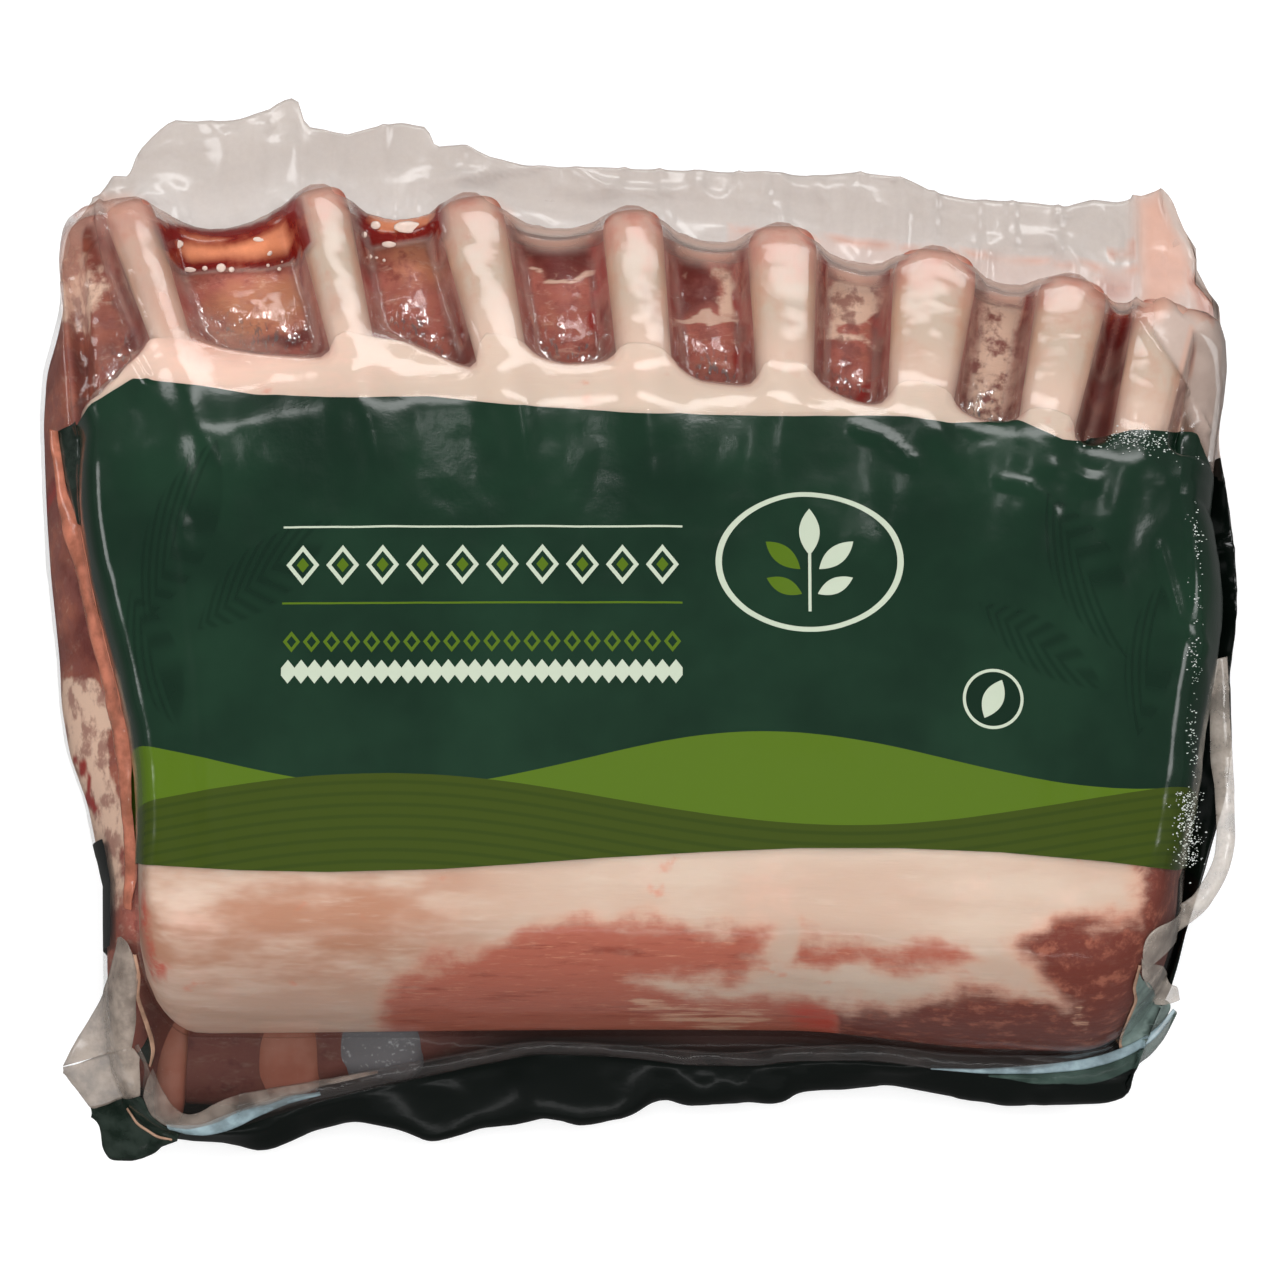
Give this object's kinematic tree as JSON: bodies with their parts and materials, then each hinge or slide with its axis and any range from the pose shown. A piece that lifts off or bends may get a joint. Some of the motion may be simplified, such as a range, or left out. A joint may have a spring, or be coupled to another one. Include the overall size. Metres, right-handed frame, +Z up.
{
  "type": "vacuum-packed frenched lamb racks",
  "caption": "Raw frenched lamb racks nested together and vacuum packed in a clear bag with a green printed band, rib bones and loose film edges showing.",
  "frame": {"origin": "bottom centre of the pack's box, on the surface it lies on", "axes": "+X along the row of ribs, from the long-boned left end to the right end; +Y from the loin edge towards the upper rack's rib tips; +Z up, out of the printed face"},
  "size_m": [0.2098, 0.1846, 0.066],
  "materials": {
    "clear_film": "clear glossy vacuum film over meat, fat and bone",
    "printed_film": "dark green printed glossy vacuum film",
    "bone": "scraped ivory rib bone, moist",
    "fat": "cream fat cap with pink tint",
    "meat": "raw red-brown lamb, wet, with silverskin and streaks of fat",
    "juice": "thin red meat juice with bubbles, glossy"
  },
  "bodies": {
    "root": {"sealed_pack": "clear_film"}
  },
  "joints": []
}
